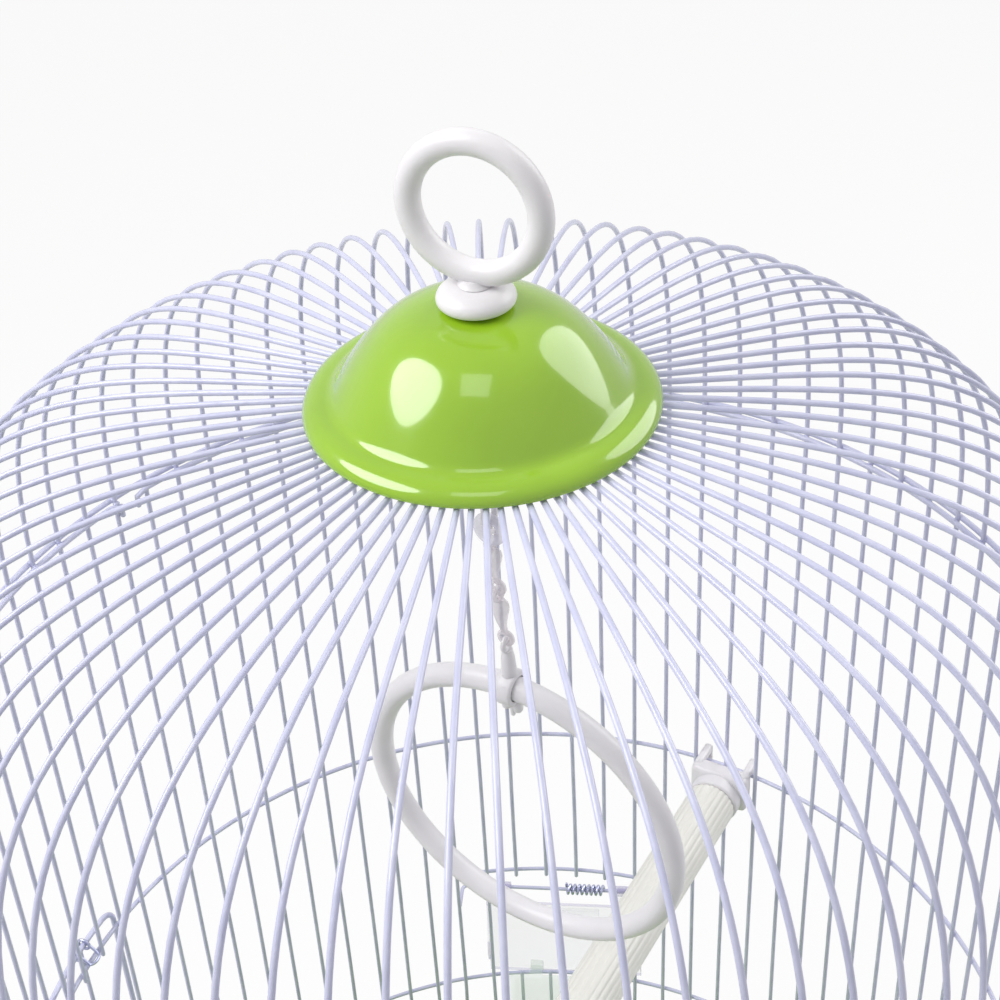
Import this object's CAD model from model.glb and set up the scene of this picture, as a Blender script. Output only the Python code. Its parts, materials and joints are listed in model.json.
"""The looks of the round bird cage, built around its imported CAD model.

Lengths are in metres, +Z is up, and the frame is the CAD model's own.
"""

import json
import math

import bmesh
import bpy
from mathutils import Matrix, Vector

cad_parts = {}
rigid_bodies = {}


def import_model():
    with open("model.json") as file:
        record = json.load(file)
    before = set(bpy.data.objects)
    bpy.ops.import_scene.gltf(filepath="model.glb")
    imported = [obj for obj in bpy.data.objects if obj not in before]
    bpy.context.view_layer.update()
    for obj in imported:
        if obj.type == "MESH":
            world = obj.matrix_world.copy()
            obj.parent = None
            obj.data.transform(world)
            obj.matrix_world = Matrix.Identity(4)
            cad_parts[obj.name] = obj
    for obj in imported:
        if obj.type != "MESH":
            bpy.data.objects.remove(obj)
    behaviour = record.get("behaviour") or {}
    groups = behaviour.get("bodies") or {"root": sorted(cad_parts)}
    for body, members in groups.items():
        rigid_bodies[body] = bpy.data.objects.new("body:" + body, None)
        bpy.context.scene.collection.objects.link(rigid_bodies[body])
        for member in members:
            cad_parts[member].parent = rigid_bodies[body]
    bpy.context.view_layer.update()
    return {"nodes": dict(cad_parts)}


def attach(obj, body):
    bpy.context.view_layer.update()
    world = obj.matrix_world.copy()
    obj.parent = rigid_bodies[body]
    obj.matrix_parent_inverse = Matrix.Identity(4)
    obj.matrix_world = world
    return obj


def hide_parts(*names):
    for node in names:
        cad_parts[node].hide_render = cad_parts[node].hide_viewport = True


# Wire body, as in the CAD model
CAGE_RADIUS = 0.170
WIRE_RADIUS = 0.00085
HOOP_WIRE_RADIUS = 0.0010
RING_WIRE_RADIUS = 0.0009
WELD = 0.0006  # how far two crossing wires sink into each other
UPRIGHTS = 80
PITCH = 2 * math.pi / UPRIGHTS
STUB = 0.0022  # how far a cut upright reaches past its last weld
DOME_PANELS = 8
WIRES_PER_DOME_PANEL = 10
WALL_PANELS = [(2.5, 10.5), (11.5, 19.5), (20.5, 28.5), (29.5, 37.5)]
WALL_PANELS += [(42.5, 48.5), (49.5, 55.5), (64.5, 70.5), (71.5, 77.5)]
DOOR_WIRES = 8
FEEDER_WIRES = 4

# Heights above the base's underside
GROOVE_Z = 0.058
WIRE_FOOT_Z = 0.0585
FOOT_HOOP_Z = 0.0645
TRAY_TOP_Z = 0.066
SILL_Z = 0.111
FLAP_ROD_Z = 0.1625
LINTEL_Z = 0.182
PERCH_Z = 0.258
LOWER_RING_Z = 0.265
SHOULDER_Z = 0.441
SHOULDER_STEP = 0.0006
RIM_Z = 0.548

# Dome
HUB_RING_RADIUS = 0.0345
HUB_WIRE_RADIUS = 0.0012
DOME_START_RADIUS = 0.04675
DOME_START_DROP = 0.0022
DOME_SLOPE = math.radians(5.7)
DOME_START_PULL = 0.0777
DOME_END_PULL = 0.0967
HOOP_OPENING = math.radians(234.6)  # where the shoulder's inner hoop is open
HOOP_OPENING_WIDTH = math.radians(2.4)
HOOP_END_DROP = 0.005
DOME_SWAY = 0.0005  # the most that a wire stands off its true line
WALL_SWAY = 0.0003

# Cap, collar and hang ring. The cap's dome is a Bezier curve of (radius, height above the rim) points
CAP_RADIUS = 0.047
CAP_CURVE = ((0.03885, 0.0050), (0.02744, 0.02227), (0.0221, 0.0288), (0.0, 0.0288))
CAP_WALL = 0.002
LIP_REACH = 0.0065
LIP_HEIGHT = 0.0042
LIP_CREST = 0.15  # the angle on the lip's quarter ellipse where the fold meets it
BOLT_HOLE_RADIUS = 0.0024
BOLT_RADIUS = 0.0020
BOLT_HEAD_RADIUS = 0.0034
BOLT_EYE_RADIUS = 0.0033
HUB_PLATE_RADIUS = 0.0395
HUB_PLATE_TOP = RIM_Z - 0.0027
HUB_PLATE_BOTTOM = RIM_Z - 0.0047
HANG_RING_RADIUS = 0.0176
HANG_TUBE_RADIUS = 0.0034
HANG_RING_Z = RIM_Z + 0.0556
HANG_RING_SHIFT = 0.0007
HANG_DIRECTION = math.radians(73.4)

# Swing. At rest each link leans a little from the one above it
SWING_DIRECTION = math.radians(64.0)
SWING_RING_RADIUS = 0.0521
SWING_TUBE_RADIUS = 0.00375
SWING_Z = RIM_Z - 0.1530  # before the links lean
MIDDLE_HINGE_Z = RIM_Z - 0.04365
LOWER_HINGE_Z = RIM_Z - 0.06455
CLIP_HINGE_Z = RIM_Z - 0.08155
MIDDLE_LEAN = math.radians(-4.0)
LOWER_LEAN = math.radians(3.1)
CLIP_LEAN = math.radians(4.0)
UPPER_LINK_TOP = RIM_Z - 0.0137
UPPER_LINK_BOTTOM = RIM_Z - 0.04145
UPPER_LINK_HALF_WIDTH = 0.0026
EYE_RING_Z = RIM_Z - 0.0425
EYE_RING_RADIUS = 0.00375
EYE_RING_TUBE_RADIUS = 0.0015
LOOP_TUBE_RADIUS = 0.0009
LINK_TUBE_RADIUS = 0.0008
LINK_EYE_RADIUS = 0.0021
STRAP_WIDTH = 0.0050
STRAP_THICKNESS = 0.0019
STRAP_TURNS = 0.4

# Perch
PERCH_RADIUS = 0.010
PERCH_FLUTE_DEPTH = 0.0004
PERCH_FLUTES = 24
PERCH_BACK = math.radians(155.25)
PERCH_FRONT = math.radians(337.5)
PERCH_HALF_LENGTH = 0.1562
PERCH_PLATE_RADIUS = 0.0105
PERCH_PLATE_END = 0.1620
FINGER_OFFSET = 0.010
FINGER_HALF_WIDTH = 0.0018

# Feeder openings
ROD_X = 0.177
SPRING_START_Y = -0.0185
SPRING_END_Y = -0.0015
SPRING_CURLS = 8
SPRING_RADIUS = 0.0020
SPRING_WIRE_RADIUS = 0.00065
ROD_CORNER = 0.003
FLAP_THICKNESS_LIMIT = 0.0019  # a flap's faces narrower than this are its edges

# Main door
DOOR_RADIUS = 0.1745
DOOR_FRAME_RADIUS = 0.0011
DOOR_FREE_SIDE = math.radians(-20.6)
DOOR_HINGE_SIDE = math.radians(18.6)
DOOR_HINGE_WIRE = 4.5 * PITCH
DOOR_TOP_Z = LOWER_RING_Z + 0.006
DOOR_BOTTOM_Z = SILL_Z - 0.005
DOOR_CORNER = 0.006
DOOR_BARS = range(-3, 4)
HINGE_LOOP_RADIUS = 0.0023
HINGE_LOOP_INSET = 0.020
LATCH_ANGLE = -3 * PITCH
LATCH_LOOP_RADIUS = 0.0023
LATCH_HALF_WIDTH = 0.0030
LATCH_WIRE_RADIUS = 0.0006

DOOR_TURN = math.radians(270)
FEEDER_TURNS = {"right": 0.0, "left": math.pi}
CLIP_TURNS = [math.radians(45 + 90 * i) for i in range(4)]

OUTER_HOOP_RADIUS = CAGE_RADIUS + WIRE_RADIUS + HOOP_WIRE_RADIUS - WELD
INNER_HOOP_RADIUS = CAGE_RADIUS - WIRE_RADIUS - HOOP_WIRE_RADIUS + WELD
RING_RADIUS = CAGE_RADIUS + WIRE_RADIUS + RING_WIRE_RADIUS - WELD / 2

# The photograph's camera: a pinhole fitted to the cap's rim, the wires and the rings
CAMERA_TILT = 0.636
CAMERA_ROLL = -0.055
CAMERA_TURN = math.radians(97.2)
CAMERA_DISTANCE = 10.433 * DOME_START_RADIUS
FOCAL_PIXELS = 1873.684
PICTURE_PIXELS = 1000
RIM_CENTRE_PIXEL = (482.349, 399.294)
SENSOR_WIDTH_MM = 36.0

# Light: 1 is a level at which white renders white
WORLD_LEVEL = 0.44
REFLECTED_SHARE = 0.6
LAMP_DISTANCE = 1.3
# Name, shape, azimuth and elevation from the cap in degrees, width, height, radiance
LAMPS = [
    ("softbox_left", "ELLIPSE", -74, 43, 1.1, 0.9, 6.3),
    ("softbox_right", "ELLIPSE", 123, 29, 1.05, 1.1, 2.9),
    ("lamp_front", "RECTANGLE", -2, 65, 0.48, 0.48, 1.7),
]
FLOOR_SIZE = 30.0
FLOOR_GAP = 0.0005
FLOOR_GLOW = 0.90

Z_AXIS = Vector((0, 0, 1))


# Points


def polar(radius, angle, height):
    return Vector((radius * math.cos(angle), radius * math.sin(angle), height))


def arc(radius, low, high, height, steps):
    return [polar(radius, low + (high - low) * i / steps, height) for i in range(steps + 1)]


def upright_circle(radius, height, direction, count):
    """Points of a circle about the Z axis at this height, in the upright plane that holds the direction."""
    angles = [2 * math.pi * i / count for i in range(count)]
    return [polar(radius * math.cos(a), direction, height + radius * math.sin(a)) for a in angles]


def cubic(start, start_pull, end_pull, end, steps):
    """Points of a Bezier curve, without its first point."""
    points = []
    for i in range(1, steps + 1):
        t = i / steps
        s = 1 - t
        points.append(s**3 * start + 3 * s * s * t * start_pull + 3 * s * t * t * end_pull + t**3 * end)
    return points


def curve(start, start_pull, end_pull, end, steps):
    """A Bezier curve between (radius, height) pairs, as pairs, without its first."""
    return [tuple(p) for p in cubic(Vector(start), Vector(start_pull), Vector(end_pull), Vector(end), steps)]


# Mesh building


class Shape:
    """Points and faces gathered for one mesh."""

    def __init__(self):
        self.points = []
        self.faces = []

    def loft(self, rings, closed=False):
        """A skin over rings of equally many points. Closed joins the last ring to the first."""
        start = len(self.points)
        count = len(rings[0])
        for ring in rings:
            self.points += [tuple(point) for point in ring]
        spans = len(rings) if closed else len(rings) - 1
        for i in range(spans):
            low = start + i * count
            high = start + (i + 1) % len(rings) * count
            for j in range(count):
                k = (j + 1) % count
                self.faces.append((low + j, low + k, high + k, high + j))
        if not closed:
            self.faces.append(tuple(range(start + count - 1, start - 1, -1)))
            end = start + (len(rings) - 1) * count
            self.faces.append(tuple(range(end, end + count)))
        return self

    def tube(self, route, radius, sides=12, closed=False, rounded=False):
        """A round tube along the route. The radius is a number, or a function of the share of the route."""
        size = radius if callable(radius) else lambda share: radius
        directions = tangents(route, closed)
        normals = carried_normals(directions, closed)
        rings = []
        for i, (point, direction, normal) in enumerate(zip(route, directions, normals)):
            across = direction.cross(normal)
            r = size(i / max(1, len(route) - 1))
            turns = [2 * math.pi * j / sides for j in range(sides)]
            rings.append([point + r * (math.cos(a) * normal + math.sin(a) * across) for a in turns])
        if rounded and not closed:
            rings = rounded_ends(rings, route, directions, size)
        return self.loft(rings, closed)

    def lathe(self, profile, steps):
        """Turns a closed profile of (radius, height) points about Z."""
        turns = [2 * math.pi * i / steps for i in range(steps)]
        rings = [[polar(radius, a, height) for a in turns] for radius, height in profile]
        return self.loft(rings, closed=True)

    def ball(self, centre, axes, rows=6, sides=10):
        """An ellipsoid with three half-axes, given as vectors."""
        turns = [2 * math.pi * j / sides for j in range(sides)]
        around = [math.cos(t) * axes[0] + math.sin(t) * axes[1] for t in turns]
        rings = []
        for i in range(1, rows):
            a = math.pi * i / rows
            level = centre - math.cos(a) * axes[2]
            rings.append([level + math.sin(a) * spoke for spoke in around])
        return self.loft(rings)

    def join(self, other, matrix):
        """Adds another shape, moved by the matrix."""
        start = len(self.points)
        self.points += [tuple(matrix @ Vector(point)) for point in other.points]
        self.faces += [tuple(start + i for i in face) for face in other.faces]
        return self

    def mesh(self, name):
        made = bpy.data.meshes.new(name)
        made.from_pydata(self.points, [], self.faces)
        made.update()
        shape = bmesh.new()
        shape.from_mesh(made)
        bmesh.ops.recalc_face_normals(shape, faces=shape.faces)
        shape.to_mesh(made)
        shape.free()
        return made


def tangents(route, closed):
    count = len(route)
    found = []
    for i in range(count):
        before = route[(i - 1) % count] if closed or i > 0 else route[0]
        after = route[(i + 1) % count] if closed or i < count - 1 else route[-1]
        found.append((after - before).normalized())
    return found


def carried_normals(directions, closed):
    """Normals carried along a route with the least twist. A closed route shares out what twist is left."""
    first = directions[0]
    side = Z_AXIS if abs(first.z) < 0.9 else Vector((1, 0, 0))
    normal = (side - side.dot(first) * first).normalized()
    normals = [normal]
    for before, after in zip(directions, directions[1:]):
        normal = before.rotation_difference(after) @ normal
        normals.append((normal - normal.dot(after) * after).normalized())
    if closed:
        back = directions[-1].rotation_difference(first) @ normals[-1]
        twist = math.atan2(first.dot(back.cross(normals[0])), back.dot(normals[0]))
        count = len(normals)
        shares = [twist * i / count for i in range(count)]
        normals = [Matrix.Rotation(a, 3, d) @ n for a, d, n in zip(shares, directions, normals)]
    return normals


def rounded_ends(rings, route, directions, size):
    """The rings with a half-round end added at each end of the route."""
    steps = 4
    low, high = [], []
    for i in range(1, steps + 1):
        a = math.pi / 2 * i / steps
        scale = max(0.02, math.cos(a))
        first = route[0] - math.sin(a) * size(0) * directions[0]
        last = route[-1] + math.sin(a) * size(1) * directions[-1]
        low.insert(0, [first + scale * (point - route[0]) for point in rings[0]])
        high.append([last + scale * (point - route[-1]) for point in rings[-1]])
    return low + rings + high


def rounded_box(shape, low, high, radius, turn=None):
    """Adds a box with rounded edges to the shape."""
    cube = bmesh.new()
    bmesh.ops.create_cube(cube, size=1.0)
    size = [b - a for a, b in zip(low, high)]
    middle = [(a + b) / 2 for a, b in zip(low, high)]
    place = Matrix.Translation(middle) @ Matrix.Diagonal((*size, 1))
    bmesh.ops.transform(cube, matrix=place, verts=cube.verts)
    bmesh.ops.bevel(cube, geom=cube.edges, offset=radius, segments=3, profile=0.5, affect="EDGES")
    if turn is not None:
        bmesh.ops.transform(cube, matrix=turn, verts=cube.verts)
    start = len(shape.points)
    shape.points += [tuple(vert.co) for vert in cube.verts]
    shape.faces += [tuple(start + vert.index for vert in face.verts) for face in cube.faces]
    cube.free()


def softened_copy(node, name, width):
    """A copy of a CAD node's mesh with its hard edges rounded."""
    shape = bmesh.new()
    shape.from_mesh(frame["nodes"][node].data)
    bmesh.ops.remove_doubles(shape, verts=shape.verts, dist=1e-6)
    bmesh.ops.dissolve_limit(shape, angle_limit=math.radians(2), verts=shape.verts, edges=shape.edges)
    sharp = [edge for edge in shape.edges if edge.calc_face_angle(0) > math.radians(25)]
    bmesh.ops.bevel(
        shape, geom=sharp, offset=width, segments=2, profile=0.5, affect="EDGES", clamp_overlap=True
    )
    mesh = bpy.data.meshes.new(name)
    shape.to_mesh(mesh)
    shape.free()
    return mesh


def add(name, mesh, finish, slot, body, *nodes, turn=0.0, sharp=40):
    """Places a finished piece on its body, with its material, its slot and the CAD nodes that it replaces."""
    mesh.materials.clear()
    mesh.materials.append(finish)
    if turn:
        mesh.transform(Matrix.Rotation(turn, 4, "Z"))
    mesh.shade_smooth()
    mesh.set_sharp_from_angle(angle=math.radians(sharp))
    obj = bpy.data.objects.new(name, mesh)
    bpy.context.scene.collection.objects.link(obj)
    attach(obj, body)
    if nodes:
        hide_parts(*nodes)
    return obj


def add_wires(name, shape, *nodes):
    """A piece of the welded wire body."""
    return add(name, shape.mesh(name), enamel, "wire_enamel", "cage", *nodes)


# Materials


def plain_material(name, colour, roughness, **settings):
    """A Principled material. Settings are sockets by name, with _ for a space."""
    made = bpy.data.materials.new(name)
    made.use_nodes = True
    shader = made.node_tree.nodes["Principled BSDF"]
    shader.inputs["Base Color"].default_value = (*colour, 1.0)
    shader.inputs["Roughness"].default_value = roughness
    for key, value in settings.items():
        shader.inputs[key.replace("_", " ")].default_value = value
    return made


def noise(made, scale, detail=3.0):
    """A noise texture in object space, whose scale is per metre. Returns its Fac socket."""
    nodes, links = made.node_tree.nodes, made.node_tree.links
    place = nodes.new("ShaderNodeTexCoord")
    texture = nodes.new("ShaderNodeTexNoise")
    texture.inputs["Scale"].default_value = scale
    texture.inputs["Detail"].default_value = detail
    links.new(place.outputs["Object"], texture.inputs["Vector"])
    return texture.outputs["Fac"]


def ramp(made, source, stops):
    """A colour ramp on the source. Stops are (position, colour)."""
    nodes, links = made.node_tree.nodes, made.node_tree.links
    node = nodes.new("ShaderNodeValToRGB")
    links.new(source, node.inputs["Fac"])
    elements = node.color_ramp.elements
    while len(elements) < len(stops):
        elements.new(0.5)
    for element, (position, colour) in zip(elements, stops):
        element.position = position
        element.color = (*colour, 1.0)
    return node.outputs["Color"]


def set_colour(made, socket):
    made.node_tree.links.new(socket, made.node_tree.nodes["Principled BSDF"].inputs["Base Color"])


def set_roughness(made, source, low, high):
    nodes, links = made.node_tree.nodes, made.node_tree.links
    span = nodes.new("ShaderNodeMapRange")
    span.inputs["To Min"].default_value = low
    span.inputs["To Max"].default_value = high
    links.new(source, span.inputs["Value"])
    links.new(span.outputs["Result"], nodes["Principled BSDF"].inputs["Roughness"])


def add_bump(made, source, distance):
    """Bumps on top of any that the material has already."""
    nodes, links = made.node_tree.nodes, made.node_tree.links
    bump = nodes.new("ShaderNodeBump")
    bump.inputs["Distance"].default_value = distance
    bump.inputs["Strength"].default_value = 1.0
    links.new(source, bump.inputs["Height"])
    normal = nodes["Principled BSDF"].inputs["Normal"]
    if normal.is_linked:
        links.new(normal.links[0].from_socket, bump.inputs["Normal"])
    links.new(bump.outputs["Normal"], normal)


def enamel_material():
    """Dipped lavender enamel: slightly uneven in colour and thickness, with a fine orange peel."""
    made = plain_material("lavender_enamel", (0.59, 0.60, 0.78), 0.3, Coat_Weight=0.5, Coat_Roughness=0.12)
    tint = ramp(made, noise(made, 90, 2), [(0.3, (0.55, 0.56, 0.75)), (0.7, (0.64, 0.65, 0.82))])
    set_colour(made, tint)
    set_roughness(made, noise(made, 400), 0.24, 0.40)
    add_bump(made, noise(made, 260, 2), 0.00025)
    add_bump(made, noise(made, 1500, 2), 0.00004)
    return made


def green_material():
    """Polished lime plastic, lit a little from within."""
    made = plain_material(
        "green_plastic",
        (0.29, 0.515, 0.011),
        0.12,
        Subsurface_Weight=0.2,
        Subsurface_Radius=(0.6, 1.0, 0.15),
        Subsurface_Scale=0.003,
        Coat_Weight=0.9,
        Coat_Roughness=0.03,
    )
    tint = ramp(made, noise(made, 30, 2), [(0.3, (0.275, 0.49, 0.008)), (0.7, (0.310, 0.54, 0.014))])
    set_colour(made, tint)
    set_roughness(made, noise(made, 500), 0.10, 0.20)
    add_bump(made, noise(made, 120, 2), 0.00006)
    return made


def white_material(name="white_plastic", colour=(0.83, 0.81, 0.83), roughness=0.28):
    """Moulded plastic with a faint mould texture."""
    darker = tuple(0.95 * c for c in colour)
    made = plain_material(
        name,
        colour,
        roughness,
        Subsurface_Weight=0.15,
        Subsurface_Radius=(1.0, 0.9, 0.9),
        Subsurface_Scale=0.002,
    )
    set_colour(made, ramp(made, noise(made, 60, 2), [(0.3, darker), (0.7, colour)]))
    set_roughness(made, noise(made, 700), roughness - 0.05, roughness + 0.12)
    add_bump(made, noise(made, 900, 3), 0.00005)
    return made


def milky_material(name, colour, alpha):
    """Clear plastic with a milky tint. Each skin lets through one minus the alpha of what is behind it."""
    made = plain_material(name, colour, 0.25, IOR=1.45, Alpha=alpha)
    darker = tuple(0.94 * c for c in colour)
    set_colour(made, ramp(made, noise(made, 80, 2), [(0.3, darker), (0.7, colour)]))
    set_roughness(made, noise(made, 500), 0.20, 0.36)
    add_bump(made, noise(made, 400, 2), 0.00006)
    return made


def steel_material():
    made = plain_material("zinc_steel", (0.52, 0.54, 0.72), 0.3, Metallic=1.0)
    set_colour(made, ramp(made, noise(made, 300, 4), [(0.3, (0.46, 0.48, 0.67)), (0.7, (0.58, 0.60, 0.76))]))
    set_roughness(made, noise(made, 900), 0.24, 0.44)
    add_bump(made, noise(made, 1200, 2), 0.00003)
    return made


# Wire body


def dome_point(t):
    """(radius, height) on the dome's curve, from the cap's rim at t = 0 to the shoulder at t = 1."""
    start = Vector((DOME_START_RADIUS, RIM_Z - DOME_START_DROP))
    start_pull = start + DOME_START_PULL * Vector((math.cos(DOME_SLOPE), -math.sin(DOME_SLOPE)))
    end = Vector((CAGE_RADIUS, SHOULDER_Z))
    end_pull = end + Vector((0, DOME_END_PULL))
    s = 1 - t
    return s**3 * start + 3 * s * s * t * start_pull + 3 * s * t * t * end_pull + t**3 * end


def hub_height():
    return RIM_Z - DOME_START_DROP + (DOME_START_RADIUS - HUB_RING_RADIUS) * math.tan(DOME_SLOPE)


def sway(index, share, most):
    """How far a wire stands off its true line, sideways, at a share of a stretch between two welds."""
    phase = 2.4 * index
    wave = 0.7 * math.sin(phase * 1.7) + 0.3 * math.sin(phase * 3.1 + 2 * math.pi * share)
    return most * wave * math.sin(math.pi * share)


def dome_route(index):
    """An upright from the hub ring to the shoulder. Index counts pitches from +X."""
    steps = 26
    points = [polar(HUB_RING_RADIUS, index * PITCH, hub_height())]
    for i in range(steps + 1):
        t = i / steps
        radius, height = dome_point(t)
        points.append(polar(radius, index * PITCH + sway(index, t, DOME_SWAY) / radius, height))
    return points


def wall_route(index, low, high):
    """An upright between two heights of the wall."""
    welds = [WIRE_FOOT_Z, SILL_Z, LOWER_RING_Z, SHOULDER_Z]
    steps = 8
    heights = {low, high}
    for below, above in zip(welds, welds[1:]):
        for i in range(steps + 1):
            height = below + (above - below) * i / steps
            if low < height < high:
                heights.add(height)
    points = []
    for height in sorted(heights, reverse=True):
        below = max([weld for weld in welds if weld <= height], default=low)
        above = min([weld for weld in welds if weld > height], default=high)
        share = (height - below) / (above - below) if above > below else 0
        aside = sway(index + above, share, WALL_SWAY) / CAGE_RADIUS
        points.append(polar(CAGE_RADIUS, index * PITCH + aside, height))
    return points


def half_steps(count):
    """Steps of one, spread evenly about zero."""
    return [i - (count - 1) / 2 for i in range(count)]


def make_dome_wires():
    for k in range(DOME_PANELS):
        shape = Shape()
        for step in half_steps(WIRES_PER_DOME_PANEL):
            shape.tube(dome_route(k * WIRES_PER_DOME_PANEL + step), WIRE_RADIUS, 12)
        add_wires(f"dome_wires_{k + 1}", shape, f"dome_panel_{k + 1}")


def upright_stretches(indices, low, high):
    """Wall wires. An end that is cut off at an opening is round."""
    shape = Shape()
    for index in indices:
        shape.tube(wall_route(index, low, high), WIRE_RADIUS, 12, rounded=True)
    return shape


def make_wall_wires():
    for k, (first, last) in enumerate(WALL_PANELS):
        indices = [first + i for i in range(round(last - first) + 1)]
        shape = upright_stretches(indices, WIRE_FOOT_Z, SHOULDER_Z)
        add_wires(f"wall_wires_{k + 1}", shape, f"wall_panel_{k + 1}")
    middle = DOOR_TURN / PITCH
    indices = [middle + step for step in half_steps(DOOR_WIRES)]
    shape = upright_stretches(indices, LOWER_RING_Z - STUB, SHOULDER_Z)
    add_wires("door_header_wires", shape, "door_header")
    shape = upright_stretches(indices, WIRE_FOOT_Z, SILL_Z + STUB)
    add_wires("door_threshold_wires", shape, "door_threshold")
    for side, turn in FEEDER_TURNS.items():
        indices = [turn / PITCH + step for step in half_steps(FEEDER_WIRES)]
        shape = upright_stretches(indices, LINTEL_Z - STUB, SHOULDER_Z)
        half = (FEEDER_WIRES + 1) / 2 * PITCH + STUB / CAGE_RADIUS
        radius = CAGE_RADIUS + 2 * WIRE_RADIUS - WELD / 2
        shape.tube(arc(radius, turn - half, turn + half, LINTEL_Z, 16), WIRE_RADIUS, 12, rounded=True)
        for step in half_steps(FEEDER_WIRES + 2):
            weld_nugget(shape, turn + step * PITCH, radius, CAGE_RADIUS, LINTEL_Z, WIRE_RADIUS)
        add_wires(f"feeder_header_{side}_wires", shape, f"feeder_header_{side}")
        shape = upright_stretches(indices, WIRE_FOOT_Z, SILL_Z + STUB)
        add_wires(f"feeder_threshold_{side}_wires", shape, f"feeder_threshold_{side}")


def weld_nugget(shape, angle, ring_radius, wire_radius, height, thickness):
    """The small bead of a spot weld between a ring and an upright."""
    middle = polar((ring_radius + wire_radius) / 2, angle, height)
    size = 1.15 * thickness
    spread = 1 + 0.18 * math.sin(37.0 * angle)
    outward, along = polar(0.8 * size, angle, 0), polar(spread * size, angle + math.pi / 2, 0)
    shape.ball(middle, [outward, along, Vector((0, 0, size / spread))])


def welded_ring(name, radius, height, thickness, *nodes):
    """A full ring with its welds."""
    shape = Shape()
    steps = 240
    ring = [polar(radius, 2 * math.pi * i / steps, height) for i in range(steps)]
    shape.tube(ring, thickness, 12, closed=True)
    for i in range(UPRIGHTS):
        weld_nugget(shape, (i + 0.5) * PITCH, radius, CAGE_RADIUS, height, thickness)
    add_wires(name, shape, *nodes)


def make_inner_hoop():
    """The shoulder's inner hoop is open, with both ends turned down."""
    height = SHOULDER_Z - SHOULDER_STEP
    low = HOOP_OPENING - HOOP_OPENING_WIDTH / 2
    high = HOOP_OPENING + HOOP_OPENING_WIDTH / 2 - 2 * math.pi
    route = arc(INNER_HOOP_RADIUS, high, low, height, 236)
    drop = Vector((0, 0, HOOP_END_DROP))
    start, end = route[0], route[-1]
    route = [start - drop, start - 0.3 * drop] + route[1:-1] + [end - 0.3 * drop, end - drop]
    shape = Shape()
    shape.tube(route, HOOP_WIRE_RADIUS, 12, rounded=True)
    for i in range(UPRIGHTS):
        weld_nugget(shape, (i + 0.5) * PITCH, INNER_HOOP_RADIUS, CAGE_RADIUS, height, HOOP_WIRE_RADIUS)
    add_wires("shoulder_hoop_inner", shape)


def make_rings():
    welded_ring("lower_ring_wire", RING_RADIUS, LOWER_RING_Z, RING_WIRE_RADIUS, "lower_ring")
    welded_ring("sill_ring_wire", RING_RADIUS, SILL_Z, RING_WIRE_RADIUS, "sill_ring")
    welded_ring("foot_hoop", OUTER_HOOP_RADIUS, FOOT_HOOP_Z, HOOP_WIRE_RADIUS)
    welded_ring("shoulder_hoop_outer", OUTER_HOOP_RADIUS, SHOULDER_Z + SHOULDER_STEP, HOOP_WIRE_RADIUS)
    make_inner_hoop()
    steps = 96
    ring = [polar(HUB_RING_RADIUS, 2 * math.pi * i / steps, hub_height()) for i in range(steps)]
    add_wires("hub_ring_wire", Shape().tube(ring, HUB_WIRE_RADIUS, 12, closed=True), "hub_ring")


# Base


def tray_profile():
    """Along the underside, up the wall to the rim, round the wires' groove, and down to the floor."""
    outer = [(0.0, 0.0), (0.1500, 0.0)]
    outer += curve((0.1500, 0.0), (0.1516, 0.0), (0.1522, 0.0002), (0.1530, 0.0022), 5)
    outer += curve((0.1530, 0.0022), (0.1570, 0.0200), (0.1610, 0.0400), (0.1640, 0.0530), 8)
    outer += curve((0.1640, 0.0530), (0.1650, 0.0560), (0.1740, 0.0545), (0.1772, 0.0562), 8)
    outer += curve((0.1772, 0.0562), (0.1782, 0.0568), (0.1784, 0.0650), (0.1762, TRAY_TOP_Z), 8)
    groove = [(0.1752, TRAY_TOP_Z), (0.1750, 0.0658), (0.1750, GROOVE_Z + 0.0003), (0.1747, GROOVE_Z)]
    groove += [(0.1668, GROOVE_Z), (0.1665, GROOVE_Z + 0.0003), (0.1665, 0.0657), (0.1662, TRAY_TOP_Z)]
    inner = [(0.1652, TRAY_TOP_Z), (0.1642, 0.0652), (0.1636, 0.0630)]
    inner += curve((0.1636, 0.0630), (0.1605, 0.0500), (0.1550, 0.0200), (0.1525, 0.0080), 8)
    inner += curve((0.1525, 0.0080), (0.1512, 0.0030), (0.1500, 0.0025), (0.1460, 0.0025), 6)
    return [(max(radius, 0.0005), height) for radius, height in outer + groove + inner + [(0.0, 0.0025)]]


def make_base():
    shape = Shape()
    shape.lathe(tray_profile(), 192)
    for turn in CLIP_TURNS:
        about = Matrix.Rotation(turn, 4, "Z")
        for side in (-1, 1):
            low, high = side * 0.0124 - 0.0012, side * 0.0124 + 0.0012
            rounded_box(shape, (0.1700, low, 0.0462), (0.1836, high, 0.0560), 0.0009, about)
    add("base_tray_shell", shape.mesh("base_tray_shell"), green, "green_plastic", "cage", "base_tray")
    for i in range(1, len(CLIP_TURNS) + 1):
        mesh = softened_copy(f"base_clip_{i}", "clip", 0.0004)
        add(f"base_clip_{i}_shell", mesh, white, "white_plastic", f"clip_{i}", f"base_clip_{i}")


# Cap, collar and hang ring


def raised(profile):
    """Heights above the cap's rim, turned into heights."""
    return [(radius, RIM_Z + height) for radius, height in profile]


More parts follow.
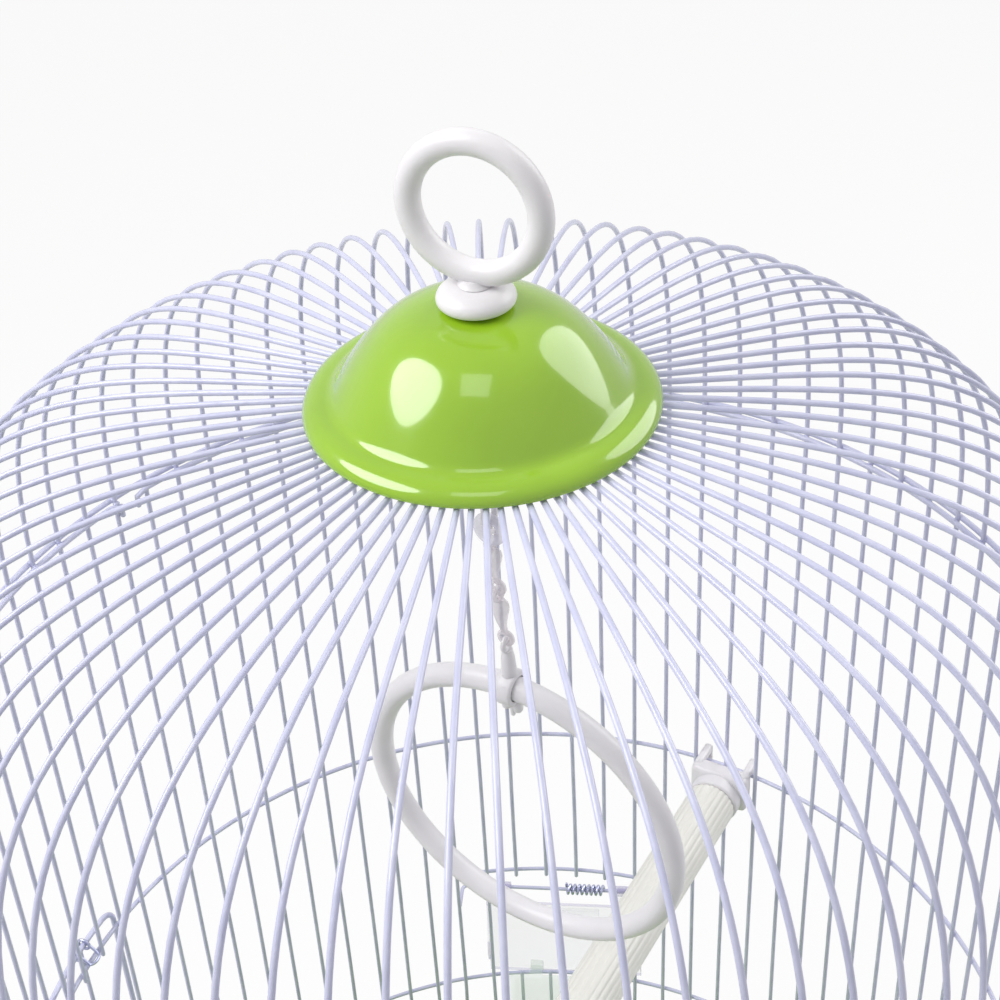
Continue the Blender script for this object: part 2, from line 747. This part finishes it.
def cap_profile():
    """(radius, height) round the cap's wall: down the outside, the fold and the lip, then up the inside."""
    foot, foot_pull, top_pull, top = (Vector(point) for point in CAP_CURVE)
    dome = [point for point in cubic(foot, foot_pull, top_pull, top, 30) if point.x > BOLT_HOLE_RADIUS]
    middle = CAP_RADIUS - LIP_REACH
    meeting = Vector((middle + LIP_REACH * math.sin(LIP_CREST), LIP_HEIGHT * math.cos(LIP_CREST)))
    downhill = (foot - foot_pull).normalized()
    fold = cubic(dome[0], dome[0] + 0.0016 * downhill, meeting - Vector((0.0018, -0.0001)), meeting, 8)
    turns = [LIP_CREST + (math.pi / 2 - LIP_CREST) * i / 10 for i in range(1, 11)]
    lip = [Vector((middle + LIP_REACH * math.sin(a), LIP_HEIGHT * math.cos(a))) for a in turns]
    edge = lip[-1]
    under = Vector((CAP_RADIUS - 0.0050, -0.0001))
    hem = cubic(edge, edge + Vector((0, -0.0012)), Vector((CAP_RADIUS - 0.0012, -0.0014)), under, 6)
    inner = [point - Vector((CAP_WALL, CAP_WALL)) for point in dome if point.x - CAP_WALL > BOLT_HOLE_RADIUS]
    profile = [Vector((BOLT_HOLE_RADIUS, top.y))] + dome[::-1] + fold + lip + hem + inner
    profile.append(Vector((BOLT_HOLE_RADIUS, top.y - CAP_WALL)))
    return raised(profile)


def make_bolt():
    """The hanger bolt: a shaft with a round head in the collar, and an eye below for the swing."""
    shape = Shape()
    shape.tube([Vector((0, 0, RIM_Z - 0.0092)), Vector((0, 0, RIM_Z + 0.0305))], BOLT_RADIUS, 24)
    shape.tube([Vector((0, 0, RIM_Z + 0.0302)), Vector((0, 0, RIM_Z + 0.0318))], BOLT_HEAD_RADIUS, 24)
    eye = upright_circle(BOLT_EYE_RADIUS, RIM_Z - 0.0125, SWING_DIRECTION, 32)
    shape.tube(eye, LOOP_TUBE_RADIUS, 12, closed=True)
    add("hanger_bolt_turned", shape.mesh("hanger_bolt_turned"), steel, "zinc_steel", "cage", "hanger_bolt")


def make_cap():
    mesh = Shape().lathe(cap_profile(), 128).mesh("cap_shell")
    add("cap_shell", mesh, green, "green_plastic", "cage", "cap")
    chamfer = 0.0004
    hole, edge = 0.0023, HUB_PLATE_RADIUS
    plate = [(hole, HUB_PLATE_TOP), (edge - chamfer, HUB_PLATE_TOP), (edge, HUB_PLATE_TOP - chamfer)]
    plate += [(edge, HUB_PLATE_BOTTOM + chamfer), (edge - chamfer, HUB_PLATE_BOTTOM)]
    plate.append((hole, HUB_PLATE_BOTTOM))
    mesh = Shape().lathe(plate, 96).mesh("hub_plate_disc")
    add("hub_plate_disc", mesh, white, "white_plastic", "cage", "hub_plate")
    mesh = softened_copy("hub_nut", "hub_nut_hex", 0.0002)
    add("hub_nut_hex", mesh, steel, "zinc_steel", "cage", "hub_nut")
    make_bolt()


def collar_profile():
    """A flat bead, hollow below for the bolt's head and above for the hang ring's stem."""
    low, high = (0.0085, 0.0292), (0.0048, 0.0346)
    bead = curve(low, (0.0115, 0.0292), (0.0110, 0.0343), high, 18)
    socket = [(0.0028, 0.0347), (0.0025, 0.0345), (0.0025, 0.0334), (0.0002, 0.0334)]
    hollow = [(0.0002, 0.0322), (0.0037, 0.0322), (0.0037, 0.0299), (0.0023, 0.0299)]
    return [(0.0023, 0.0292), low] + bead + socket + hollow


def stem_profile():
    """The hang ring's stem: a pin in the collar's socket, and a flare that meets the ring."""
    pin = [(0.0002, 0.0336), (0.0022, 0.0336), (0.0022, 0.0347)]
    return pin + [(0.0046, 0.0348), (0.0039, 0.0356), (0.0036, 0.0366), (0.0002, 0.0366)]


def make_collar():
    mesh = Shape().lathe(raised(collar_profile()), 96).mesh("collar_turned")
    add("collar_turned", mesh, white, "white_plastic", "top_swivel", "collar")
    circle = upright_circle(HANG_RING_RADIUS, HANG_RING_Z, HANG_DIRECTION, 96)
    ring = Shape().tube(circle, HANG_TUBE_RADIUS, 32, closed=True)
    shape = Shape().join(ring, Matrix.Translation(polar(HANG_RING_SHIFT, HANG_DIRECTION, 0)))
    shape.join(Shape().lathe(raised(stem_profile()), 48), Matrix())
    add("hang_ring_moulded", shape.mesh("hang_ring"), white, "white_plastic", "top_swivel", "hang_ring")


# Swing


def twisted_strap(shape, top, bottom):
    """A link's shank: a flat strap with round edges, twisted about its middle, and narrower at its ends."""
    steps = 36
    sides = 16
    rings = []
    for i in range(steps + 1):
        share = i / steps
        twist = SWING_DIRECTION + STRAP_TURNS * 2 * math.pi * share
        fade = min(1.0, 0.75 + 3 * min(share, 1 - share))
        wide = polar(fade * STRAP_WIDTH / 2, twist, 0)
        thin = polar(STRAP_THICKNESS / 2, twist + math.pi / 2, 0)
        middle = Vector((0, 0, RIM_Z + top + (bottom - top) * share))
        angles = [2 * math.pi * j / sides for j in range(sides)]
        rings.append([middle + math.cos(a) * wide + math.sin(a) * thin for a in angles])
    shape.loft(rings)


def link_eye(shape, centre, direction, radius=LINK_EYE_RADIUS):
    shape.tube(upright_circle(radius, RIM_Z + centre, direction, 32), LINK_TUBE_RADIUS, 12, closed=True)


def lean(hinge_z, direction, angle):
    """A turn about the level line through the cage's axis at this height."""
    hinge = Matrix.Translation((0, 0, hinge_z))
    return hinge @ Matrix.Rotation(angle, 4, polar(1, direction, 0)) @ hinge.inverted()


def clip_shape(along, across):
    """The clip on the swing ring: an eye, a neck, a grip round the ring, and its two pinched ends."""
    grip_z = SWING_Z + SWING_RING_RADIUS
    shape = Shape()
    link_eye(shape, -0.08365, across)
    neck = [Vector((0, 0, RIM_Z - 0.0859)), Vector((0, 0, RIM_Z - 0.0890)), Vector((0, 0, grip_z + 0.0046))]
    shape.tube(neck, lambda share: 0.0016 + 0.0009 * share, 20)
    bore, skin = SWING_TUBE_RADIUS + 0.0004, SWING_TUBE_RADIUS + 0.0020
    reach, soft = 0.0025, 0.0007
    turns = (0, 0.5, 1.05, 1.57)
    corner = [(skin - soft + soft * math.sin(a), reach - soft + soft * math.cos(a)) for a in turns]
    mirrored = [(radius, -height) for radius, height in corner]
    outline = [(bore, -reach)] + mirrored + corner[::-1] + [(bore, reach)]
    stand = Matrix.Rotation(along, 4, "Z") @ Matrix.Rotation(math.pi / 2, 4, "Y")
    shape.join(Shape().lathe(outline, 48), Matrix.Translation((0, 0, grip_z)) @ stand)
    for side in (-1, 1):
        offset = side * polar(0.0019, along, 0)
        shape.tube([offset + Vector((0, 0, RIM_Z + z)) for z in (-0.1060, -0.1090)], 0.0016, 16, rounded=True)
    shape.tube([Vector((0, 0, RIM_Z + z)) for z in (-0.1066, -0.1121)], 0.0008, 12, rounded=True)
    return shape


def upper_link_shape(across):
    """A long wire loop with round ends."""
    steps = 12
    turns = [math.pi * i / steps for i in range(steps + 1)]
    half = UPPER_LINK_HALF_WIDTH
    high, low = UPPER_LINK_TOP - half, UPPER_LINK_BOTTOM + half
    upper = [polar(half * math.cos(a), across, high + half * math.sin(a)) for a in turns]
    lower = [polar(-half * math.cos(a), across, low - half * math.sin(a)) for a in turns]
    return Shape().tube(upper + lower, LOOP_TUBE_RADIUS, 12, closed=True)


def make_swing():
    along = SWING_DIRECTION
    across = SWING_DIRECTION + math.pi / 2
    mesh = upper_link_shape(across).mesh("upper_link_moulded")
    add("upper_link_moulded", mesh, white, "white_plastic", "swing_upper", "upper_link")
    circle = upright_circle(EYE_RING_RADIUS, EYE_RING_Z, along, 48)
    mesh = Shape().tube(circle, EYE_RING_TUBE_RADIUS, 16, closed=True).mesh("eye_ring_moulded")
    add("eye_ring_moulded", mesh, bead, "milky_plastic", "swing_upper", "eye_ring")

    def hang(name, shape, matrix, body, finish=white):
        mesh = shape.mesh(name)
        mesh.transform(matrix)
        add(f"{name}_moulded", mesh, finish, "white_plastic", body, name)

    hanging = lean(MIDDLE_HINGE_Z, across, MIDDLE_LEAN)
    shape = Shape()
    twisted_strap(shape, -0.0488, -0.0606)
    link_eye(shape, -0.04635, across, 0.0027)
    link_eye(shape, -0.06245, along)
    hang("middle_link", shape, hanging, "swing_middle", link)

    hanging = hanging @ lean(LOWER_HINGE_Z, along, LOWER_LEAN)
    shape = Shape()
    twisted_strap(shape, -0.0666, -0.0795)
    link_eye(shape, -0.06475, across)
    link_eye(shape, -0.08135, along)
    hang("lower_link", shape, hanging, "swing_lower", link)

    hanging = hanging @ lean(CLIP_HINGE_Z, across, CLIP_LEAN)
    hang("swing_clip", clip_shape(along, across), hanging, "swing")
    ring = upright_circle(SWING_RING_RADIUS, SWING_Z, along, 160)
    hang("swing_ring", Shape().tube(ring, SWING_TUBE_RADIUS, 32, closed=True), hanging, "swing")


# Perch


def perch_matrix():
    front, back = polar(CAGE_RADIUS, PERCH_FRONT, 0), polar(CAGE_RADIUS, PERCH_BACK, 0)
    middle = (front + back) / 2
    along = back - front
    turn = Matrix.Rotation(math.atan2(along.y, along.x), 4, "Z")
    return Matrix.Translation((middle.x, middle.y, PERCH_Z)) @ turn


def perch_end_shape():
    """The holder at the perch's +X end: a round plate, a block, and two fingers over the lower ring."""
    finger_z = LOWER_RING_Z + RING_WIRE_RADIUS + 0.0004 - PERCH_Z
    near, far, radius, soft = PERCH_HALF_LENGTH + 0.0003, PERCH_PLATE_END, PERCH_PLATE_RADIUS, 0.0010
    turns = [math.pi / 2 * i / 4 for i in range(5)]
    edge = [(radius - soft + soft * math.sin(a), near + soft - soft * math.cos(a)) for a in turns]
    plate = [(0.0003, near)] + edge + [(radius, far), (0.0003, far)]
    shape = Shape().join(Shape().lathe(plate, 64), Matrix.Rotation(math.pi / 2, 4, "Y"))
    rounded_box(shape, (0.1612, -0.0122, -0.0060), (0.1684, 0.0122, finger_z + 0.0030), 0.0022)
    for side in (-1, 1):
        low, high = side * FINGER_OFFSET - FINGER_HALF_WIDTH, side * FINGER_OFFSET + FINGER_HALF_WIDTH
        rounded_box(shape, (0.1640, low, finger_z), (0.1763, high, finger_z + 0.0036), 0.0014)
        rounded_box(shape, (0.1738, low, finger_z - 0.0066), (0.1763, high, finger_z + 0.0036), 0.0012)
    return shape


def make_perch():
    """An extruded rod with lengthwise flutes, rounded a little at its ends."""
    points_per_flute = 8
    count = PERCH_FLUTES * points_per_flute
    ends = [(0.0, 0.9), (0.0003, 0.97), (0.0010, 1.0)]
    stations = [(-PERCH_HALF_LENGTH + x, scale) for x, scale in ends]
    stations += [(PERCH_HALF_LENGTH - x, scale) for x, scale in ends[::-1]]
    rings = []
    for x, scale in stations:
        ring = []
        for i in range(count):
            a = 2 * math.pi * i / count
            groove = (0.5 - 0.5 * math.cos(PERCH_FLUTES * a)) ** 3
            r = scale * (PERCH_RADIUS - PERCH_FLUTE_DEPTH * groove)
            ring.append(Vector((x, r * math.cos(a), r * math.sin(a))))
        rings.append(ring)
    mesh = Shape().loft(rings).mesh("perch_fluted")
    mesh.transform(perch_matrix())
    add("perch_fluted", mesh, cream, "cream_plastic", "cage", "perch", sharp=60)
    about = Matrix.Rotation(math.pi, 4, "Z")
    for name, turn in (("perch_end_back", Matrix()), ("perch_end_front", about)):
        mesh = perch_end_shape().mesh(name)
        mesh.transform(perch_matrix() @ turn)
        add(f"{name}_moulded", mesh, white, "white_plastic", "cage", name)


# Feeder openings


def spring_route():
    """A wound spring along the rod, with a short straight tail at each end."""
    per_curl = 20
    count = SPRING_CURLS * per_curl
    points = []
    for i in range(count + 1):
        a = 2 * math.pi * i / per_curl
        across = SPRING_START_Y + (SPRING_END_Y - SPRING_START_Y) * i / count
        out, up = SPRING_RADIUS * math.cos(a), SPRING_RADIUS * math.sin(a)
        points.append(Vector((ROD_X + out, across, FLAP_ROD_Z + up)))
    tail = Vector((0, 0, 2 * SPRING_WIRE_RADIUS))
    return [points[0] - tail] + points + [points[-1] + tail]


def rod_route():
    """The rod that the flap hangs on. It bends in to a wire at each end."""
    wire = polar(CAGE_RADIUS, 3.5 * PITCH, 0)
    start = Vector((wire.x + WIRE_RADIUS, wire.y, FLAP_ROD_Z))
    before = Vector((ROD_X - ROD_CORNER, wire.y, FLAP_ROD_Z))
    after = Vector((ROD_X, wire.y - ROD_CORNER, FLAP_ROD_Z))
    knee = Vector((ROD_X, wire.y, FLAP_ROD_Z))
    half = [start, before] + cubic(before, before.lerp(knee, 0.55), after.lerp(knee, 0.55), after, 6)
    mirrored = [Vector((p.x, -p.y, p.z)) for p in half]
    return mirrored + half[::-1]


def tint_edges(mesh, finish, widest):
    """Gives a clear piece's narrow edge faces a finish of their own, as clear plastic is deeper there."""
    mesh.materials.append(finish)
    for face in mesh.polygons:
        corners = [mesh.vertices[i].co for i in face.vertices]
        spans = sorted(max(c[k] for c in corners) - min(c[k] for c in corners) for k in range(3))
        if spans[1] < widest:
            face.material_index = 1


def make_feeders():
    for side, turn in FEEDER_TURNS.items():
        rod, spring, flap, cup = (f"feeder_{part}_{side}" for part in ("rod", "spring", "flap", "cup"))
        mesh = Shape().tube(rod_route(), WIRE_RADIUS, 12).mesh("feeder_rod")
        add(f"{rod}_wire", mesh, enamel, "wire_enamel", "cage", rod, turn=turn)
        mesh = Shape().tube(spring_route(), SPRING_WIRE_RADIUS, 8, rounded=True).mesh("feeder_spring")
        add(f"{spring}_coil", mesh, steel, "zinc_steel", "cage", spring, turn=turn)
        mesh = softened_copy(flap, flap, 0.0003)
        add(f"{flap}_moulded", mesh, milky, "milky_plastic", f"flap_{side}", flap)
        tint_edges(mesh, milky_edge, FLAP_THICKNESS_LIMIT)
        mesh = softened_copy(cup, cup, 0.0004)
        add(f"{cup}_moulded", mesh, pale_green, "pale_green_plastic", f"cup_{side}", cup)


# Main door


def door_frame_route():
    """Round the door's frame on its cylinder, with a round bend at each corner."""
    bend = DOOR_CORNER / DOOR_RADIUS
    turns = [math.radians(a) for a in range(0, 91, 15)]
    steps = 24
    corners = [
        (DOOR_HINGE_SIDE - bend, DOOR_BOTTOM_Z + DOOR_CORNER, -90),
        (DOOR_HINGE_SIDE - bend, DOOR_TOP_Z - DOOR_CORNER, 0),
        (DOOR_FREE_SIDE + bend, DOOR_TOP_Z - DOOR_CORNER, 90),
        (DOOR_FREE_SIDE + bend, DOOR_BOTTOM_Z + DOOR_CORNER, 180),
    ]
    points = []
    for i, (angle, height, start) in enumerate(corners):
        for turn in turns:
            t = math.radians(start) + turn
            points.append(polar(DOOR_RADIUS, angle + bend * math.cos(t), height + DOOR_CORNER * math.sin(t)))
        if i % 2:
            end = corners[(i + 1) % 4][0]
            level = points[-1].z
            points += [polar(DOOR_RADIUS, angle + (end - angle) * j / steps, level) for j in range(1, steps)]
    return points


def door_shape():
    """The frame, its bars, the rail across them, and the two loops that turn on an upright."""
    shape = Shape()
    shape.tube(door_frame_route(), DOOR_FRAME_RADIUS, 12, closed=True)
    for i in DOOR_BARS:
        route = [polar(DOOR_RADIUS, i * PITCH, DOOR_BOTTOM_Z), polar(DOOR_RADIUS, i * PITCH, DOOR_TOP_Z)]
        shape.tube(route, WIRE_RADIUS, 12, rounded=True)
    rail_z = (DOOR_BOTTOM_Z + DOOR_TOP_Z) / 2
    rail_radius = DOOR_RADIUS + 0.0011
    shape.tube(arc(rail_radius, DOOR_FREE_SIDE, DOOR_HINGE_SIDE, rail_z, 32), WIRE_RADIUS, 12, rounded=True)
    for i in DOOR_BARS:
        weld_nugget(shape, i * PITCH, rail_radius, DOOR_RADIUS, rail_z, WIRE_RADIUS)
    axis = polar(CAGE_RADIUS, DOOR_HINGE_WIRE, 0)
    side = polar(DOOR_RADIUS, DOOR_HINGE_SIDE, 0)
    towards = (side - axis).normalized()
    for height in (DOOR_BOTTOM_Z + HINGE_LOOP_INSET, DOOR_TOP_Z - HINGE_LOOP_INSET):
        middle = axis + Vector((0, 0, height))
        circle = [middle + polar(HINGE_LOOP_RADIUS, 2 * math.pi * i / 24, 0) for i in range(24)]
        shape.tube(circle, WIRE_RADIUS, 12, closed=True)
        arm = [middle + HINGE_LOOP_RADIUS * towards, Vector((side.x, side.y, height))]
        shape.tube(arm, WIRE_RADIUS, 12)
    return shape


def latch_shape():
    """Two loops round the door's top bar, joined by a bent wire that reaches over the lower ring."""
    middle = Vector((DOOR_RADIUS, 0, DOOR_TOP_Z))
    shape = Shape()
    for side in (-1, 1):
        centre = middle + Vector((0, side * LATCH_HALF_WIDTH, 0))
        turns = [2 * math.pi * i / 24 for i in range(24)]
        ring = [centre + LATCH_LOOP_RADIUS * Vector((math.cos(a), 0, math.sin(a))) for a in turns]
        shape.tube(ring, LATCH_WIRE_RADIUS, 10, closed=True)
    across = Vector((0, LATCH_HALF_WIDTH, 0))
    start = middle + Vector((0, 0, LATCH_LOOP_RADIUS))
    end = Vector((0.1675, 0, DOOR_TOP_Z - 0.0028))
    turns = [math.radians(a) for a in range(-90, 91, 15)]
    bends = [(LATCH_HALF_WIDTH * (1 - math.cos(a)) * 0.6, LATCH_HALF_WIDTH * math.sin(a)) for a in turns]
    nose = [end + Vector((inward, aside, 0)) for inward, aside in bends]
    shape.tube([start - across] + nose + [start + across], LATCH_WIRE_RADIUS, 10)
    return shape


def make_door():
    mesh = door_shape().mesh("main_door")
    add("main_door_wires", mesh, enamel, "wire_enamel", "main_door", "main_door", turn=DOOR_TURN)
    mesh = latch_shape().mesh("door_latch")
    turn = DOOR_TURN + LATCH_ANGLE
    add("door_latch_wire", mesh, steel, "zinc_steel", "door_latch", "door_latch", turn=turn)


# Stage


def add_camera():
    """The photograph's camera. Its axes are worked out about the cap's rim, then turned with the picture."""
    forward = Vector((0, math.cos(CAMERA_TILT), -math.sin(CAMERA_TILT)))
    level = Vector((1, 0, 0))
    upward = Vector((0, math.sin(CAMERA_TILT), math.cos(CAMERA_TILT)))
    right = math.cos(CAMERA_ROLL) * level + math.sin(CAMERA_ROLL) * upward
    up = -math.sin(CAMERA_ROLL) * level + math.cos(CAMERA_ROLL) * upward
    off_x = (RIM_CENTRE_PIXEL[0] - PICTURE_PIXELS / 2) / FOCAL_PIXELS * CAMERA_DISTANCE
    off_y = (RIM_CENTRE_PIXEL[1] - PICTURE_PIXELS / 2) / FOCAL_PIXELS * CAMERA_DISTANCE
    place = -(CAMERA_DISTANCE * forward + off_x * right - off_y * up)
    axes = Matrix((right, up, -forward)).transposed().to_4x4()
    matrix = Matrix.Rotation(CAMERA_TURN, 4, "Z") @ Matrix.Translation(place) @ axes
    camera = bpy.data.objects.new("camera", bpy.data.cameras.new("camera"))
    camera.data.sensor_width = SENSOR_WIDTH_MM
    camera.data.lens = FOCAL_PIXELS / PICTURE_PIXELS * SENSOR_WIDTH_MM
    camera.data.clip_start = 0.01
    camera.matrix_world = Matrix.Translation((0, 0, RIM_Z)) @ matrix
    bpy.context.scene.collection.objects.link(camera)
    bpy.context.scene.camera = camera


def add_lamp(name, shape, azimuth, elevation, width, height, radiance):
    """A flat lamp that faces the cap. A surface with a radiance of 1 renders white."""
    lamp = bpy.data.lights.new(name, "AREA")
    lamp.shape = shape
    lamp.size = width
    lamp.size_y = height
    area = width * height * (math.pi / 4 if shape == "ELLIPSE" else 1)
    lamp.energy = radiance * math.pi * area
    a, e = math.radians(azimuth), math.radians(elevation)
    direction = Vector((math.cos(e) * math.cos(a), math.cos(e) * math.sin(a), math.sin(e)))
    obj = bpy.data.objects.new(name, lamp)
    obj.location = Vector((0, 0, RIM_Z)) + LAMP_DISTANCE * direction
    obj.rotation_euler = direction.to_track_quat("Z", "Y").to_euler()
    bpy.context.scene.collection.objects.link(obj)


def seen_directly(nodes, links):
    """A socket that is 1 where the camera sees straight or through glass, and less in a reflection."""
    rays = nodes.new("ShaderNodeLightPath")
    reflected = nodes.new("ShaderNodeMath")
    reflected.operation = "MULTIPLY"
    reflected.inputs[1].default_value = REFLECTED_SHARE
    links.new(rays.outputs["Is Glossy Ray"], reflected.inputs[0])
    socket = rays.outputs["Is Camera Ray"]
    for other in (rays.outputs["Is Transmission Ray"], reflected.outputs[0]):
        either = nodes.new("ShaderNodeMath")
        either.operation = "MAXIMUM"
        links.new(socket, either.inputs[0])
        links.new(other, either.inputs[1])
        socket = either.outputs[0]
    return socket


def add_light():
    for lamp in LAMPS:
        add_lamp(*lamp)
    world = bpy.data.worlds.new("studio")
    world.use_nodes = True
    bpy.context.scene.world = world
    nodes, links = world.node_tree.nodes, world.node_tree.links
    background = nodes["Background"]
    background.inputs["Color"].default_value = (1, 1, 1, 1)
    strength = nodes.new("ShaderNodeMapRange")
    strength.inputs["To Min"].default_value = WORLD_LEVEL
    strength.inputs["To Max"].default_value = 1.0
    links.new(seen_directly(nodes, links), strength.inputs["Value"])
    links.new(strength.outputs["Result"], background.inputs["Strength"])


def add_floor():
    """A white floor. The camera sees most of its white whatever the light, and its shadows on top."""
    mesh = bpy.data.meshes.new("floor")
    half = FLOOR_SIZE / 2
    corners = [(-half, -half, 0), (half, -half, 0), (half, half, 0), (-half, half, 0)]
    mesh.from_pydata(corners, [], [(0, 1, 2, 3)])
    made = bpy.data.materials.new("floor")
    made.use_nodes = True
    nodes, links = made.node_tree.nodes, made.node_tree.links
    nodes.remove(nodes["Principled BSDF"])
    diffuse = nodes.new("ShaderNodeBsdfDiffuse")
    diffuse.inputs["Color"].default_value = (0.8, 0.8, 0.8, 1)
    glow = nodes.new("ShaderNodeEmission")
    glow.inputs["Color"].default_value = (1, 1, 1, 1)
    share = nodes.new("ShaderNodeMath")
    share.operation = "MULTIPLY"
    share.inputs[1].default_value = FLOOR_GLOW
    mix = nodes.new("ShaderNodeMixShader")
    links.new(seen_directly(nodes, links), share.inputs[0])
    links.new(share.outputs[0], mix.inputs["Fac"])
    links.new(diffuse.outputs[0], mix.inputs[1])
    links.new(glow.outputs[0], mix.inputs[2])
    links.new(mix.outputs[0], nodes["Material Output"].inputs["Surface"])
    mesh.materials.append(made)
    floor = bpy.data.objects.new("floor", mesh)
    floor.location.z = -FLOOR_GAP
    bpy.context.scene.collection.objects.link(floor)


bpy.context.scene.view_settings.view_transform = "Standard"
for startup in list(bpy.data.objects):
    bpy.data.objects.remove(startup)
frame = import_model()

enamel = enamel_material()
green = green_material()
white = white_material()
cream = white_material("cream_plastic", (0.87, 0.86, 0.80), 0.38)
milky = milky_material("milky_plastic", (0.90, 0.89, 0.97), 0.11)
milky_edge = milky_material("milky_edge", (0.66, 0.62, 0.86), 0.45)
bead = milky_material("milky_bead", (0.86, 0.84, 0.95), 0.42)
link = milky_material("milky_link", (0.92, 0.87, 0.91), 0.52)
pale_green = milky_material("pale_green_plastic", (0.78, 0.91, 0.80), 0.22)
steel = steel_material()

add_camera()
make_dome_wires()
make_wall_wires()
make_rings()
make_base()
make_cap()
make_collar()
make_swing()
make_perch()
make_feeders()
make_door()
add_light()
add_floor()
